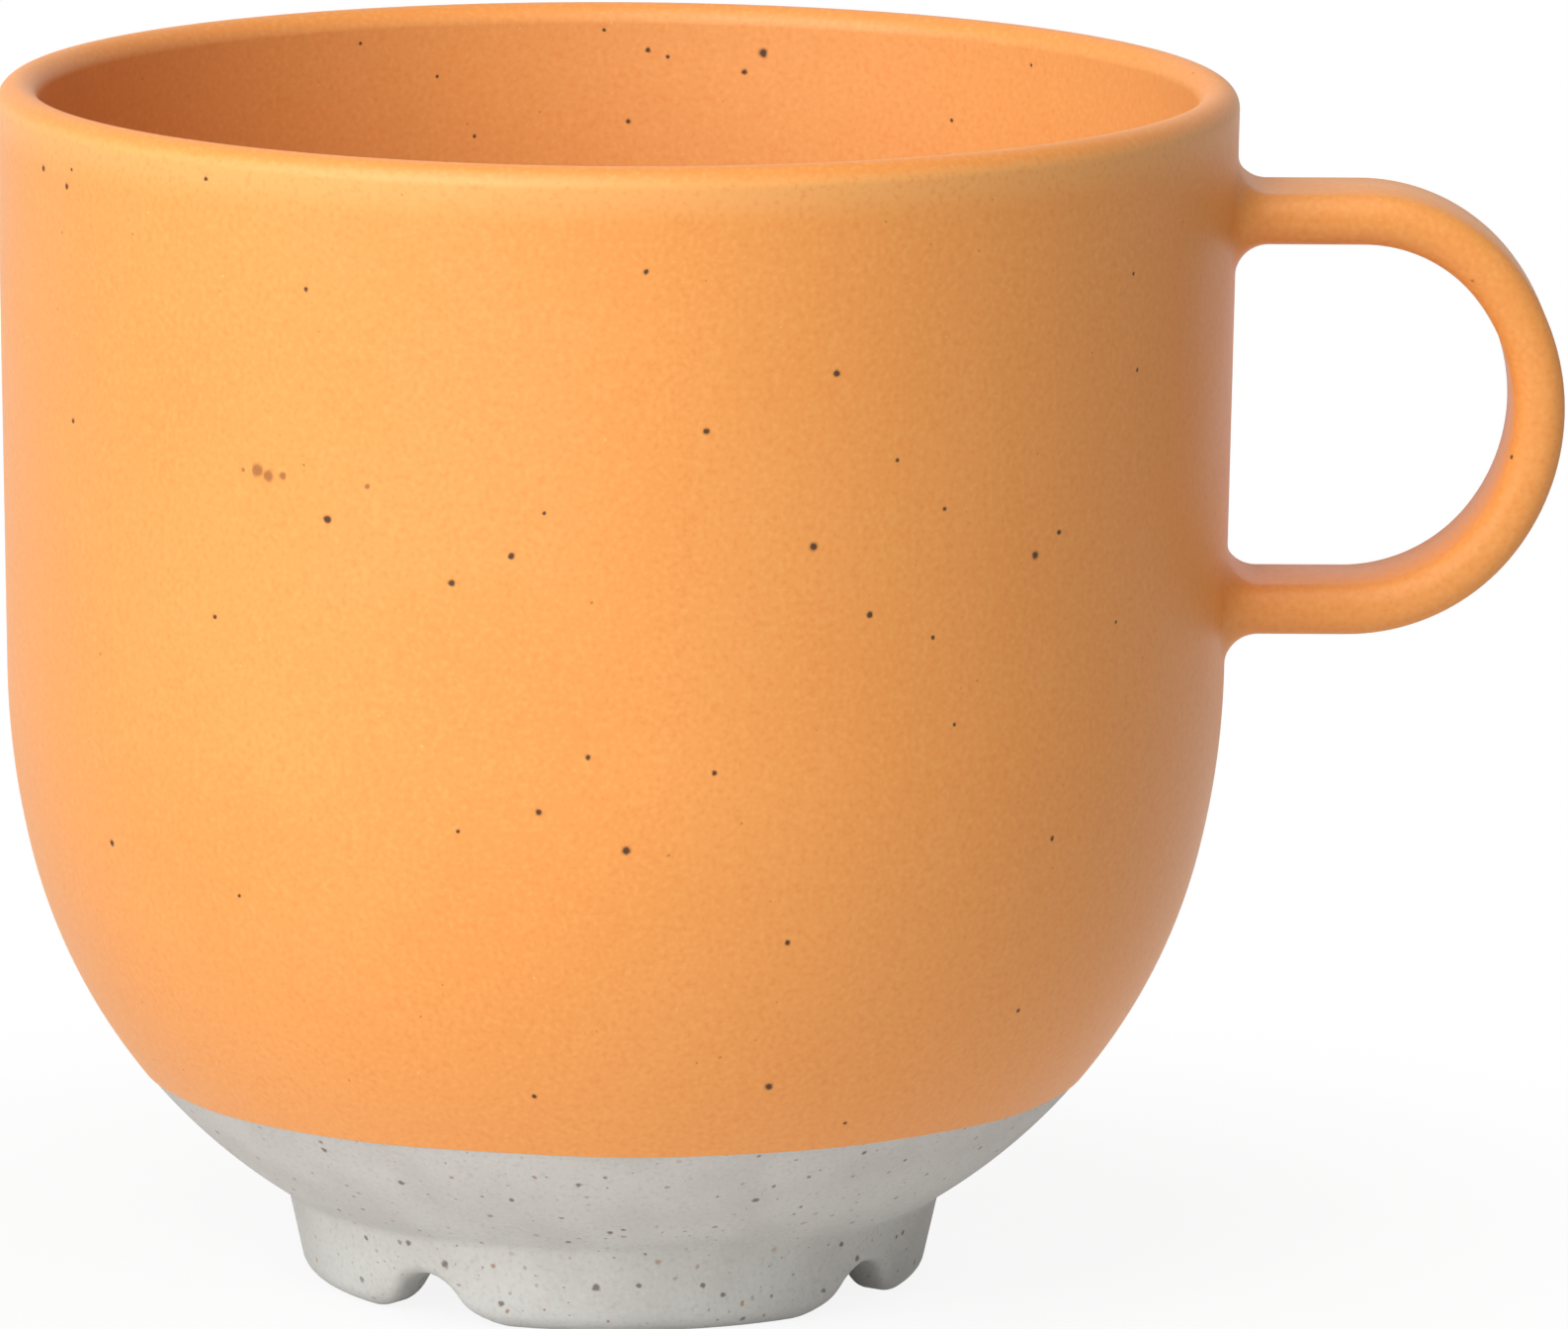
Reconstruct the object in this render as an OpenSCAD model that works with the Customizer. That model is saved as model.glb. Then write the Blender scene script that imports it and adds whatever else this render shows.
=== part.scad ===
// Stoneware mug: a glazed round-bellied cup on a bare, notched foot ring, with a loop handle.
// One piece. Millimetres. Foot on the ground at z = 0, mug axis on Z, handle towards +X.

/* [Cup] */
// outside diameter at the lip
rim_d = 90; // [84:1:96]
// height from the ground to the top of the lip
height = 87.9; // [86:0.1:96]
// thickness of the side, and of the rounded lip
wall = 3; // [2.6:0.1:3.6]
// how much the side leans out above the belly, in degrees
side_lean = 0.9; // [0.5:0.1:1.2]
// level where the straight side starts to curve in
belly_top = 45; // [44:0.5:46]
// radius of the slow curve of the belly
belly_r = 59; // [56:1:64]
// how far from upright the belly has turned where the rounder bowl takes over, in degrees
belly_turn = 14; // [12:0.5:16]
// radius of the bowl's round underside
bowl_r = 41.2; // [40.4:0.2:42]
// thickness of the floor above the hollow of the foot
floor_t = 4.5; // [4:0.1:6]
// radius inside, where the bowl flattens into the floor
floor_r = 12; // [8:1:14]
// level where the glaze stops and the bare clay starts
glaze_line = 15.6; // [14:0.2:20]

/* [Foot] */
// outside diameter of the foot ring, its side carried down to the ground
foot_d = 45; // [43:0.1:46]
// how much the foot's side leans in towards the ground, in degrees
foot_lean = 12.5; // [6:0.5:16]
// radius of the soft crease between bowl and foot
crease_r = 1.3; // [0.8:0.1:2.4]
// rounding of the foot's outside edge
foot_edge_r = 1.4; // [0.8:0.1:2]
// inside diameter of the foot ring
hollow_d = 37.6; // [36:0.2:38]
// depth of the hollow under the cup
hollow_h = 4; // [4:0.1:5]
// rounding of the foot's inside edge, and of the hollow's corner
hollow_r = 1; // [0.6:0.1:1.2]

/* [Notches] */
// number of arched notches through the foot ring
notch_n = 4; // [3:1:5]
// turn of the first notch from +X, in degrees
notch_turn = 53.5; // [30:0.5:60]
// height of the arch, less than the depth of the hollow
notch_h = 3.5; // [3:0.1:3.9]
// radius of the arch's crown
crown_r = 2.9; // [2.2:0.1:3.2]
// radius of the long shoulder by which the arch runs out onto the ground
shoulder_r = 4.5; // [3:0.5:4.5]

/* [Handle] */
// width of the strap, across the loop
strap_w = 11.5; // [10:0.1:14]
// thickness of the strap
strap_t = 3.7; // [3.5:0.1:4.2]
// rounding of the strap's long edges
strap_edge_r = 1.7; // [1.2:0.1:1.7]
// gap between the start of the belly and the handle's lower root
root_gap = 0.7; // [0.5:0.1:1.5]
// drop from the top of the lip to the top of the handle
lip_gap = 7.4; // [6:0.1:9]
// room for the finger, between the widest of the cup and the inside of the handle
finger_room = 20; // [17:0.5:26]
// how much slower the loop's upright side curves than the mean of its two corners, as a radius
grip_more = 2.4; // [1:0.1:3]
// how much the upper corner's radius falls short of that mean, and the lower's exceeds it
corner_skew = 0.6; // [0:0.1:1]
// radius of the fillet where the strap grows out of the side
root_r = 2.5; // [2:0.1:3]

/* [Hidden] */
$fn = 96;
// fillets and arcs run this much past their tangent points, so that they cross instead of graze
past = 0.002;
// the same for the ball that shapes the handle's roots
dig = 0.03;
// steps of a root: round each edge of the strap, across its flat, and from side to strap
root_turns = 7;
root_flats = 4;
root_rows = 8;

rim_r = rim_d / 2;
lip_r = wall / 2;
lip_z = height - lip_r;

// centres of the two arcs of the side, found downwards from the lip with matching tangents
side_r = rim_r - (lip_z - belly_top) * tan(side_lean);
belly_c = [side_r - belly_r * cos(side_lean), belly_top + belly_r * sin(side_lean)];
bowl_c = belly_c + (belly_r - bowl_r) * [cos(belly_turn), -sin(belly_turn)];

// outside radius of the side at a level above the bowl
function side_at(z) = z > belly_top
    ? side_r + (z - belly_top) * tan(side_lean)
    : belly_c[0] + sqrt(pow(belly_r, 2) - pow(belly_c[1] - z, 2));

// inner floor and the arc that rounds it into the bowl
floor_z = hollow_h + floor_t;
cavity_r = bowl_r - wall;
floor_rise = bowl_c[1] - floor_z - floor_r;
floor_c = [bowl_c[0] + sqrt(pow(cavity_r - floor_r, 2) - pow(floor_rise, 2)), floor_z + floor_r];

// foot side: a line at foot_lean through the ground at foot_d / 2
foot_r = foot_d / 2;
out = [cos(foot_lean), -sin(foot_lean)];
up = [sin(foot_lean), cos(foot_lean)];
// crease: a circle that touches the bowl's arc and the foot's side from outside
crease_at = (foot_r * cos(foot_lean) + crease_r) * out;
crease_gap = bowl_c - crease_at;
crease_along = crease_gap * up - sqrt(pow(bowl_r + crease_r, 2) - pow(crease_gap * out, 2));
crease_c = crease_at + crease_along * up;
crease_on_bowl = bowl_c + (crease_c - bowl_c) * bowl_r / (bowl_r + crease_r);
crease_on_foot = crease_c - crease_r * out;
// outside edge of the foot
edge_along = foot_edge_r * (1 + sin(foot_lean)) / cos(foot_lean);
edge_on_side = [foot_r, 0] + edge_along * up;
edge_c = edge_on_side - foot_edge_r * out;

hollow = hollow_d / 2;

// notch: crown circle on top, and shoulder circles that rest on the ground and touch it
crown_c = [0, notch_h - crown_r];
turn_over = asin((shoulder_r - crown_c[1]) / (crown_r + shoulder_r));
touch = crown_c + crown_r * [cos(turn_over), sin(turn_over)];
shoulder_c = crown_c + (crown_r + shoulder_r) * [cos(turn_over), sin(turn_over)];

// handle loop: corner arc, upright arc, corner arc; they change over where the loop leans
// as the 3-4-5 triangle does, so that all three centres fall on round figures
lean = atan(0.75);
low_z = belly_top + root_gap + root_r + strap_t / 2;
high_z = height - lip_gap - strap_t / 2;
corner_r = (high_z - low_z) / 2 - 0.6 * grip_more;
high_r = corner_r - corner_skew;
low_r = corner_r + corner_skew;
grip_r = corner_r + grip_more;
reach = rim_r + finger_room + strap_t / 2;
grip_c = [reach - grip_r, (high_z + low_z) / 2 + 0.4 * corner_skew];
high_c = grip_c + (grip_r - high_r) * [0.8, 0.6];
low_c = grip_c + (grip_r - low_r) * [0.8, -0.6];
strap_y = strap_w / 2 - strap_edge_r;
strap_z = strap_t / 2 - strap_edge_r;

glaze = [0.93, 0.62, 0.33];
clay = [0.78, 0.77, 0.74];

// The part of a 2D shape between two levels.
module band(lo, hi) {
    intersection() {
        translate([0, lo]) square([2 * rim_r, hi - lo]);
        children();
    }
}

module disc(centre, r) {
    translate(centre) circle(r);
}

// Fillet or rounding in 2D: the quadrilateral corner, start, centre, end, less the circle.
module rounding(corner, start, centre, end, r) {
    difference() {
        polygon([corner, start, centre, end]);
        disc(centre, r + past);
    }
}

// The solid of the cup, foot included, or with inset = wall the space inside it.
module cup_outline(inset, lo, hi) {
    belly_z = belly_c[1] - (belly_r - inset) * sin(side_lean);
    bowl_z = bowl_c[1] - (bowl_r - inset) * sin(belly_turn);
    top_r = belly_c[0] + (belly_r - inset) * cos(side_lean);
    polygon([[0, belly_z], [top_r, belly_z], [top_r + (hi - belly_z) * tan(side_lean), hi], [0, hi]]);
    band(bowl_z, belly_z + wall) disc(belly_c, belly_r - inset + past);
    band(lo, bowl_z + wall) disc(bowl_c, bowl_r - inset + 2 * past);
}

module foot_outline() {
    top = crease_c[1] + crease_r;
    difference() {
        polygon([[0, 0], [foot_r, 0], [foot_r, 0] + top * [tan(foot_lean), 1], [0, top]]);
        rounding([foot_r + 1, -1], edge_on_side, edge_c, [edge_c[0], 0], foot_edge_r);
    }
    rounding([crease_on_foot[0] - 2, crease_on_bowl[1]], crease_on_bowl, crease_c, crease_on_foot, crease_r);
}

module cavity_outline() {
    difference() {
        cup_outline(wall, floor_z, height + 1);
        rounding([floor_c[0] + 2 * floor_r, floor_z - 1], [floor_c[0], floor_z], floor_c,
            floor_c + (floor_c - bowl_c) * floor_r / (cavity_r - floor_r), floor_r);
    }
}

module hollow_outline() {
    translate([0, -1]) square([hollow, hollow_h + 1 - hollow_r]);
    square([hollow - hollow_r, hollow_h]);
    disc([hollow - hollow_r, hollow_h - hollow_r], hollow_r + past);
    rounding([hollow - 0.5, -1], [hollow, hollow_r], [hollow + hollow_r, hollow_r],
        [hollow + hollow_r, 0], hollow_r);
}

// Half section of the cup: r across, z up.
module cup_section() {
    difference() {
        union() {
            cup_outline(0, crease_c[1], lip_z);
            foot_outline();
        }
        cavity_outline();
        hollow_outline();
    }
    disc([rim_r - lip_r, lip_z], lip_r + past);
}

module glazed_cup() {
    rotate_extrude() band(glaze_line, height + 1) cup_section();
}

// Right half of a notch's outline: the crown, and the long round shoulder under it.
module half_notch() {
    intersection() {
        disc(crown_c, crown_r);
        translate([0, -1]) square(2 * crown_r + 1);
    }
    difference() {
        polygon([[0, -1], [shoulder_c[0], -1], shoulder_c, touch, [0, crown_c[1]]]);
        disc(shoulder_c - [0, past], shoulder_r);
    }
}

// One arched notch, cut outwards along +X.
module notch() {
    rotate([90, 0, 90]) linear_extrude(foot_r + 2) {
        half_notch();
        mirror([1, 0]) half_notch();
    }
}

module bare_foot() {
    difference() {
        rotate_extrude() band(-1, glaze_line) cup_section();
        for (i = [0 : notch_n - 1])
            rotate(notch_turn + i * 360 / notch_n) translate([hollow / 2, 0, 0]) notch();
    }
}

// Strap section, thickness across x and width across y.
module strap_section() {
    square([strap_t, 2 * strap_y], center = true);
    square([2 * strap_z, strap_w], center = true);
    for (x = [-1, 1], y = [-1, 1]) disc([x * strap_z, y * strap_y], strap_edge_r);
}

// Arc of strap in the XZ plane about a centre, from one angle to another.
module strap_arc(centre, r, from, to) {
    translate([centre[0], 0, centre[1]]) rotate([90, 0, 0])
        rotate_extrude(angle = to - from, start = from) translate([r, 0]) strap_section();
}

// Bar of strap at a level, out of the side to a reach, with its flared root.
module bar(z, to) {
    from = side_r - wall / 2;
    translate([from, 0, z]) rotate([0, 90, 0]) linear_extrude(to - from) strap_section();
    root(z);
}

// Outline of the strap's section as pairs of outward direction and point, both [y, z].
strap_outline = [for (quarter = [0 : 3])
    let (
        y_side = quarter == 0 || quarter == 3 ? 1 : -1,
        z_side = quarter < 2 ? 1 : -1,
        centre = [y_side * strap_y, z_side * strap_z],
        flat_end = [0, centre[1] + z_side * strap_edge_r]
    )
    each concat(
        [for (i = [0 : root_turns])
            let (a = 90 * (quarter + i / root_turns), way = [cos(a), sin(a)])
            [way, centre + strap_edge_r * way]],
        quarter % 2 == 1 ? [] : [for (i = [1 : root_flats - 1])
            [[0, z_side], flat_end + [y_side * strap_y * (1 - 2 * i / root_flats), 0]]]
    )];

// One row of root points, for every outline point, where a ball of root_r rests on strap and side
// at level z: share 0 touches the strap, share 1 touches the side.
function root_row(z, share) = [for (at = strap_outline)
    let (
        centre = at[1] + root_r * at[0],
        track_r = side_at(z + centre[1]) + root_r,
        ball = [sqrt(pow(track_r, 2) - pow(centre[0], 2)), centre[0], z + centre[1]],
        to_strap = -[0, at[0][0], at[0][1]],
        to_side = -[ball[0], ball[1], 0] / track_r,
        apart = acos(to_strap * to_side),
        way = (sin(apart * (1 - share)) * to_strap + sin(apart * share) * to_side) / sin(apart)
    )
    ball + (root_r + dig) * way + (share == 1 ? 0.4 * to_side : share == 0 ? 0.4 * to_strap : [0, 0, 0])];

// Flared root of the bar at level z, made of the fillet's rows and closed inside side and strap.
module root(z) {
    n = len(strap_outline);
    // the two end rows are sunk into side and strap; the rows between them are the fillet
    shares = [for (i = [0 : root_rows]) 1 - i / root_rows];
    rows = [for (share = shares) root_row(z, share)];
    points = concat([for (row = rows) each row],
        [[side_at(z) - wall / 2, 0, z], [side_at(z) + root_r, 0, z]]);
    faces = concat(
        [for (row = [0 : len(rows) - 2], i = [0 : n - 1])
            let (a = row * n + i, b = row * n + (i + 1) % n)
            each [[a, a + n, b], [b, a + n, b + n]]],
        [for (i = [0 : n - 1]) [i, (i + 1) % n, len(points) - 2]],
        [for (i = [0 : n - 1]) let (last = (len(rows) - 1) * n) [last + (i + 1) % n, last + i, len(points) - 1]]
    );
    polyhedron(points, faces);
}

module handle() {
    strap_arc(grip_c, grip_r, -lean, lean);
    strap_arc(high_c, high_r, lean, 90);
    strap_arc(low_c, low_r, -90, -lean);
    bar(high_z, high_c[0]);
    bar(low_z, low_c[0]);
}

module mug() {
    color(glaze) glazed_cup();
    color(clay) bare_foot();
    color(glaze) handle();
}

mug();
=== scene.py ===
# The looks of the stoneware mug. The glazed cup with its handle, and the bare clay foot under it, are
# two meshes over the one solid of part.scad, with the same sizes.
import math

import bpy
import numpy as np
from mathutils import Matrix, Vector
from mathutils.geometry import delaunay_2d_cdt


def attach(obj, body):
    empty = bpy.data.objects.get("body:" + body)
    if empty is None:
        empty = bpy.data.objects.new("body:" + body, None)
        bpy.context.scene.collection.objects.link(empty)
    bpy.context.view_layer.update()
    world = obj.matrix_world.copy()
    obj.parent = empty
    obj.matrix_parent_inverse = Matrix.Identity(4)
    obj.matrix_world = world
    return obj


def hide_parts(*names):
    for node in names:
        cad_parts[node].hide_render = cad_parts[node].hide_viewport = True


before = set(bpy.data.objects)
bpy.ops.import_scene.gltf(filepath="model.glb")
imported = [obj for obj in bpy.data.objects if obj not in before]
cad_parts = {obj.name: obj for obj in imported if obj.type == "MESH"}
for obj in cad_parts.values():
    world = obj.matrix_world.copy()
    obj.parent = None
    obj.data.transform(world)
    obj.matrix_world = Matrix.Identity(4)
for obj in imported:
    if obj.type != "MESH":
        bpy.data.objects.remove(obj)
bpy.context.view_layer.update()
scene = bpy.context.scene
MM = 0.001
cos, sin, tan, pi = math.cos, math.sin, math.tan, math.pi

# Sizes of the body, in millimetres and degrees, as in part.scad
RIM_R = 45.0
HEIGHT = 87.9
WALL = 3.0
LEAN = 0.9  # of the side, outward
BELLY_TOP = 45.0  # level where the side passes into the belly's arc
BELLY_R = 59.0
BELLY_TURN = 14.0  # how far the belly turns in before the bowl's arc takes over
BOWL_R = 41.2
FLOOR_Z = 8.5  # top of the floor
FLOOR_R = 12.0  # corner of floor and wall
GLAZE_LINE = 15.6
GLAZE_T = 0.1

# Foot ring and its notches
FOOT_R = 22.5
FOOT_LEAN = 12.5
CREASE_R = 1.3  # fillet between the ring and the bowl
EDGE_R = 1.4
HOLLOW = 18.8  # radius of the hollow under the floor
HOLLOW_H = 4.0
HOLLOW_R = 1.0
RING_TOP = 8.0  # level above which the ring lies within the bowl
NOTCHES = 4
NOTCH_TURN = 53.5  # from the handle to the nearest notch
NOTCH_H = 3.5
CROWN_R = 2.9
SHOULDER_R = 4.5
NOTCH_EDGE = 0.9
NOTCH_EASE = 3  # the edge has that radius from a third of the notch's height up
GROUND_END = 40.0  # how far the ground is drawn beside a notch

# Handle
STRAP_W = 11.5
STRAP_T = 3.7
STRAP_EDGE = 1.7
STRAP_CROWN = 13.0  # how far the shading of the strap's wide faces leans out at their edges
LOW_Z = 50.05  # middle of the lower bar
HIGH_Z = 78.65  # middle of the upper bar
ROOT_R = 2.5
REACH = 66.85  # from the axis to the middle of the strap, at its farthest
TOP_R = 12.26  # middle of the strap in the upper corner arc
LOW_R = 13.46
JOIN_TURN = math.atan(0.75)  # above and below level, where the grip's arc meets the corner arcs

# The hidden face on which cup and foot meet, and the smallest ring round the axis
MEET_Z = 16.6
MEET_DEPTH = 1.4
AXIS_R = 0.7

# Fineness of the meshes
COLUMNS = 288
GRID_STEP = 2 * pi / COLUMNS
EDGE_POINTS = 6
CORNER_RINGS = 22
GRIP_RINGS = 32
NOTCH_POINTS = 16
ROOF_ROWS = 9
WINDOW_GAP = 0.9  # mm that the side leaves open above and below a root
WINDOW_CELLS = 1.2  # columns that it leaves open beside one
SKIN_GAP = 0.5  # mm kept between a root's outline and the points round it

# What follows from the sizes
LIP_R = WALL / 2
LIP_Z = HEIGHT - LIP_R
LIP_C = np.array([RIM_R - LIP_R, LIP_Z])
SIDE_LEAN = math.radians(LEAN)
SIDE_R = RIM_R - (LIP_Z - BELLY_TOP) * tan(SIDE_LEAN)
BELLY_C = np.array([SIDE_R - BELLY_R * cos(SIDE_LEAN), BELLY_TOP + BELLY_R * sin(SIDE_LEAN)])
BELLY_END = math.radians(BELLY_TURN)
BOWL_C = BELLY_C + (BELLY_R - BOWL_R) * np.array([cos(BELLY_END), -sin(BELLY_END)])
CLAY_R = BOWL_R - GLAZE_T
CAVITY_R = BOWL_R - WALL
CORNER_RISE = BOWL_C[1] - FLOOR_Z - FLOOR_R
CORNER_R = BOWL_C[0] + math.sqrt((CAVITY_R - FLOOR_R) ** 2 - CORNER_RISE ** 2)
FLOOR_C = np.array([CORNER_R, FLOOR_Z + FLOOR_R])
FLOOR_TURN = math.degrees(math.atan2(FLOOR_C[1] - BOWL_C[1], FLOOR_C[0] - BOWL_C[0]))
FOOT_SLOPE = math.radians(FOOT_LEAN)


def side_at(z):
    """Outside radius of the side at a level above the bowl."""
    z = np.asarray(z, float)
    belly = BELLY_C[0] + np.sqrt(np.maximum(0, BELLY_R ** 2 - (BELLY_C[1] - z) ** 2))
    return np.where(z > BELLY_TOP, SIDE_R + (z - BELLY_TOP) * tan(SIDE_LEAN), belly)


def outside_at(z):
    """Outside radius of the mug at any height."""
    bowl = BOWL_C[0] + np.sqrt(np.maximum(0, BOWL_R ** 2 - (BOWL_C[1] - z) ** 2))
    foot = np.where(z < RING_TOP, FOOT_R + z * tan(FOOT_SLOPE), 0)
    bowl_top = BOWL_C[1] - BOWL_R * sin(BELLY_END)
    return np.where(z > bowl_top, side_at(z), np.maximum(bowl, foot))


def bowl_angle(radius, z):
    """Angle in degrees at which an arc round the bowl's centre reaches a height below it."""
    return -math.degrees(math.asin((BOWL_C[1] - z) / radius))


# Half sections (radius, height) and the meshes turned from them
def arc(centre, radius, start, end, points, sign=1.0):
    """Points and normals of an arc from one angle to another, in degrees."""
    a = np.radians(np.linspace(start, end, points))
    way = np.stack([np.cos(a), np.sin(a)], 1)
    return np.asarray(centre) + radius * way, sign * way


def line(a, b, points, normal):
    """Points and normals of a straight stretch."""
    t = np.linspace(0, 1, points)[:, None]
    normals = np.repeat(np.asarray(normal, float)[None], points, 0)
    return np.asarray(a) * (1 - t) + np.asarray(b) * t, normals


def join(parts):
    """One run of points from several; a shared end point is kept once."""
    P, N = [], []
    for p, n in parts:
        if P and np.hypot(*(P[-1][-1] - p[0])) < 1e-3:
            p, n = p[1:], n[1:]
        P.append(p)
        N.append(n)
    return np.concatenate(P), np.concatenate(N)


def lathe(P, N, phi):
    """Rows of a half section turned round the axis: points and normals [row, column, 3]."""
    c, s = np.cos(phi), np.sin(phi)
    V = np.stack([P[:, 0:1] * c, P[:, 0:1] * s, np.repeat(P[:, 1:2], len(phi), 1)], -1)
    W = np.stack([N[:, 0:1] * c, N[:, 0:1] * s, np.repeat(N[:, 1:2], len(phi), 1)], -1)
    return V, W


def grid_quads(base, rows, cols, skip=None):
    """Quads of a row by column grid that closes round its columns."""
    i, j = np.meshgrid(np.arange(rows - 1), np.arange(cols), indexing="ij")
    keep = np.ones(i.shape, bool) if skip is None else ~skip(i, j)
    i, j = i[keep], j[keep]
    here, k = base + i * cols, (j + 1) % cols
    return np.stack([here + j, here + k, here + cols + k, here + cols + j], 1)


def fan(centre, base, cols):
    """Triangles from a centre point to a ring."""
    j = np.arange(cols)
    return np.stack([np.full(cols, centre), base + j, base + (j + 1) % cols], 1)


def make_piece(name, V, N, faces, material, inner=None):
    """Mesh object from points and normals in mm. Each group of faces is turned to agree with the normals."""
    out = []
    for F in faces:
        F = np.asarray(F)
        a, b, c = V[F[:, 0]], V[F[:, 1]], V[F[:, -1]]
        backwards = (np.cross(b - a, c - a) * N[F].sum(1)).sum() < 0
        out += (F[:, ::-1] if backwards else F).tolist()
    used = sorted({i for f in out for i in f})
    at = {v: k for k, v in enumerate(used)}
    me = bpy.data.meshes.new(name)
    me.from_pydata([tuple(v) for v in (V[used] * MM)], [], [[at[i] for i in f] for f in out])
    me.polygons.foreach_set("use_smooth", [True] * len(me.polygons))
    unit = N[used] / np.linalg.norm(N[used], axis=1)[:, None]
    me.normals_split_custom_set_from_vertices([tuple(n) for n in unit])
    me.materials.append(material)
    if inner is not None:
        a = me.attributes.new("inner", "FLOAT", "POINT")
        a.data.foreach_set("value", inner[used].astype(np.float32))
    me.update()
    o = bpy.data.objects.new(name, me)
    scene.collection.objects.link(o)
    return o


# Handle
def strap_outline(turns=10, flats=18):
    """The strap's section: points (width, thickness), outward directions, and those of a crowned strap."""
    ey, ez = STRAP_W / 2 - STRAP_EDGE, STRAP_T / 2 - STRAP_EDGE
    crown = math.radians(STRAP_CROWN)
    pts, way, soft = [], [], []
    for q in range(4):
        ys, zs = (1 if q in (0, 3) else -1), (1 if q < 2 else -1)
        for i in range(turns + 1):
            a = pi / 2 * (q + i / turns)
            b = a - crown * (i / turns if q % 2 == 0 else i / turns - 1)
            pts.append(np.array([ys * ey, zs * ez]) + STRAP_EDGE * np.array([cos(a), sin(a)]))
            way.append([cos(a), sin(a)])
            soft.append([cos(b), sin(b)])
        if q % 2 == 0:
            for i in range(1, flats):
                t = 1 - 2 * i / flats
                pts.append(np.array([ys * ey * t, zs * (ez + STRAP_EDGE)]))
                way.append([0.0, zs])
                soft.append([ys * sin(crown * t), zs * cos(crown * t)])
    return np.array(pts), np.array(way), np.array(soft)


def root_rows(z, pts, way, rows=13):
    """Fillet of a root: rows from the strap to the side, as a ball resting on both leaves them."""
    c = pts + ROOT_R * way
    track = side_at(z + c[:, 1]) + ROOT_R
    ball = np.stack([np.sqrt(track ** 2 - c[:, 0] ** 2), c[:, 0], z + c[:, 1]], 1)
    to_strap = -np.stack([np.zeros(len(way)), way[:, 0], way[:, 1]], 1)
    to_side = -np.stack([ball[:, 0], ball[:, 1], np.zeros(len(way))], 1) / track[:, None]
    apart = np.arccos(np.clip((to_strap * to_side).sum(1), -1, 1))
    out = []
    for k in range(rows):
        s = k / (rows - 1)
        w = (np.sin(apart * (1 - s))[:, None] * to_strap + np.sin(apart * s)[:, None] * to_side)
        w /= np.sin(apart)[:, None]
        out.append((ball + ROOT_R * w, -w))
    return out


def bar_rows(start, x, way, soft, up, steps=6):
    """Rings of a level bar from its root to the corner arc at x, where the shading is crowned."""
    rows = []
    for i in range(1, steps):
        t = i / steps
        p = start.copy()
        p[:, 0] = start[:, 0] * (1 - t) + x * t
        n = way * (1 - t) + soft * t
        rows.append((p, np.stack([np.zeros(len(n)), n[:, 0], n[:, 1] * up], 1)))
    return rows


def strap_ring(pts, soft, centre, radius, a):
    """Ring of the strap at an angle of one of its arcs."""
    out, across = np.array([cos(a), 0, sin(a)]), np.array([0, 1, 0])
    p = np.array([centre[0], 0, centre[1]]) + out * (radius + pts[:, 1:2]) + across * pts[:, 0:1]
    return p, out * soft[:, 1:2] + across * soft[:, 0:1]


def handle_rows():
    """Rings of the handle, from the upper root's edge on the side to the lower root's."""
    pts, way, soft = strap_outline()
    c, s = cos(JOIN_TURN), sin(JOIN_TURN)
    grip_r = ((HIGH_Z - LOW_Z) - (1 - s) * (TOP_R + LOW_R)) / (2 * s)
    grip = np.array([REACH - grip_r, (HIGH_Z + LOW_Z) / 2 - (1 - s) / 2 * (TOP_R - LOW_R)])
    top = grip + (grip_r - TOP_R) * np.array([c, s])
    low = grip + (grip_r - LOW_R) * np.array([c, -s])
    upper = root_rows(HIGH_Z, pts, way)
    lower = root_rows(LOW_Z, pts * [1, -1], way * [1, -1])
    rows = upper[::-1]
    rows += bar_rows(upper[0][0], top[0], way, soft, 1)
    rows += [strap_ring(pts, soft, top, TOP_R, a) for a in np.linspace(pi / 2, JOIN_TURN, CORNER_RINGS)[:-1]]
    turns = np.linspace(JOIN_TURN, -JOIN_TURN, GRIP_RINGS)
    rows += [strap_ring(pts, soft, grip, grip_r, a) for a in turns[:-1]]
    rows += [strap_ring(pts, soft, low, LOW_R, a) for a in np.linspace(-JOIN_TURN, -pi / 2, CORNER_RINGS)]
    rows += bar_rows(lower[0][0], low[0], way, soft, -1)[::-1]
    rows += lower
    return np.array([p for p, n in rows]), np.array([n for p, n in rows])


# Glazed cup
EDGE_WAVES = [(0.07, 3, 0.6), (0.05, 7, 2.1), (0.03, 13, 0.0)]  # height in mm, waves a turn, phase
EDGE_ROWS = range(2, 11)  # of the half section: the glaze's edge and what lies just beside it
EDGE_FLARE = 0.62  # how fast the bowl widens with height at the glaze line
EDGE_REST = 0.15  # degrees of the bowl left for the rounded edge


def glaze_bead():
    """Rounded edge of the glaze, from the clay to the glaze's own outside."""
    a = np.radians((bowl_angle(CLAY_R, GLAZE_LINE) + bowl_angle(BOWL_R, GLAZE_LINE)) / 2)
    out, down = np.array([cos(a), sin(a)]), np.array([sin(a), -cos(a)])
    b = np.linspace(0, pi / 2, EDGE_POINTS)[:, None]
    way = np.cos(b) * down + np.sin(b) * out
    return BOWL_C + CLAY_R * out - down * GLAZE_T + GLAZE_T * way, way


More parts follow.
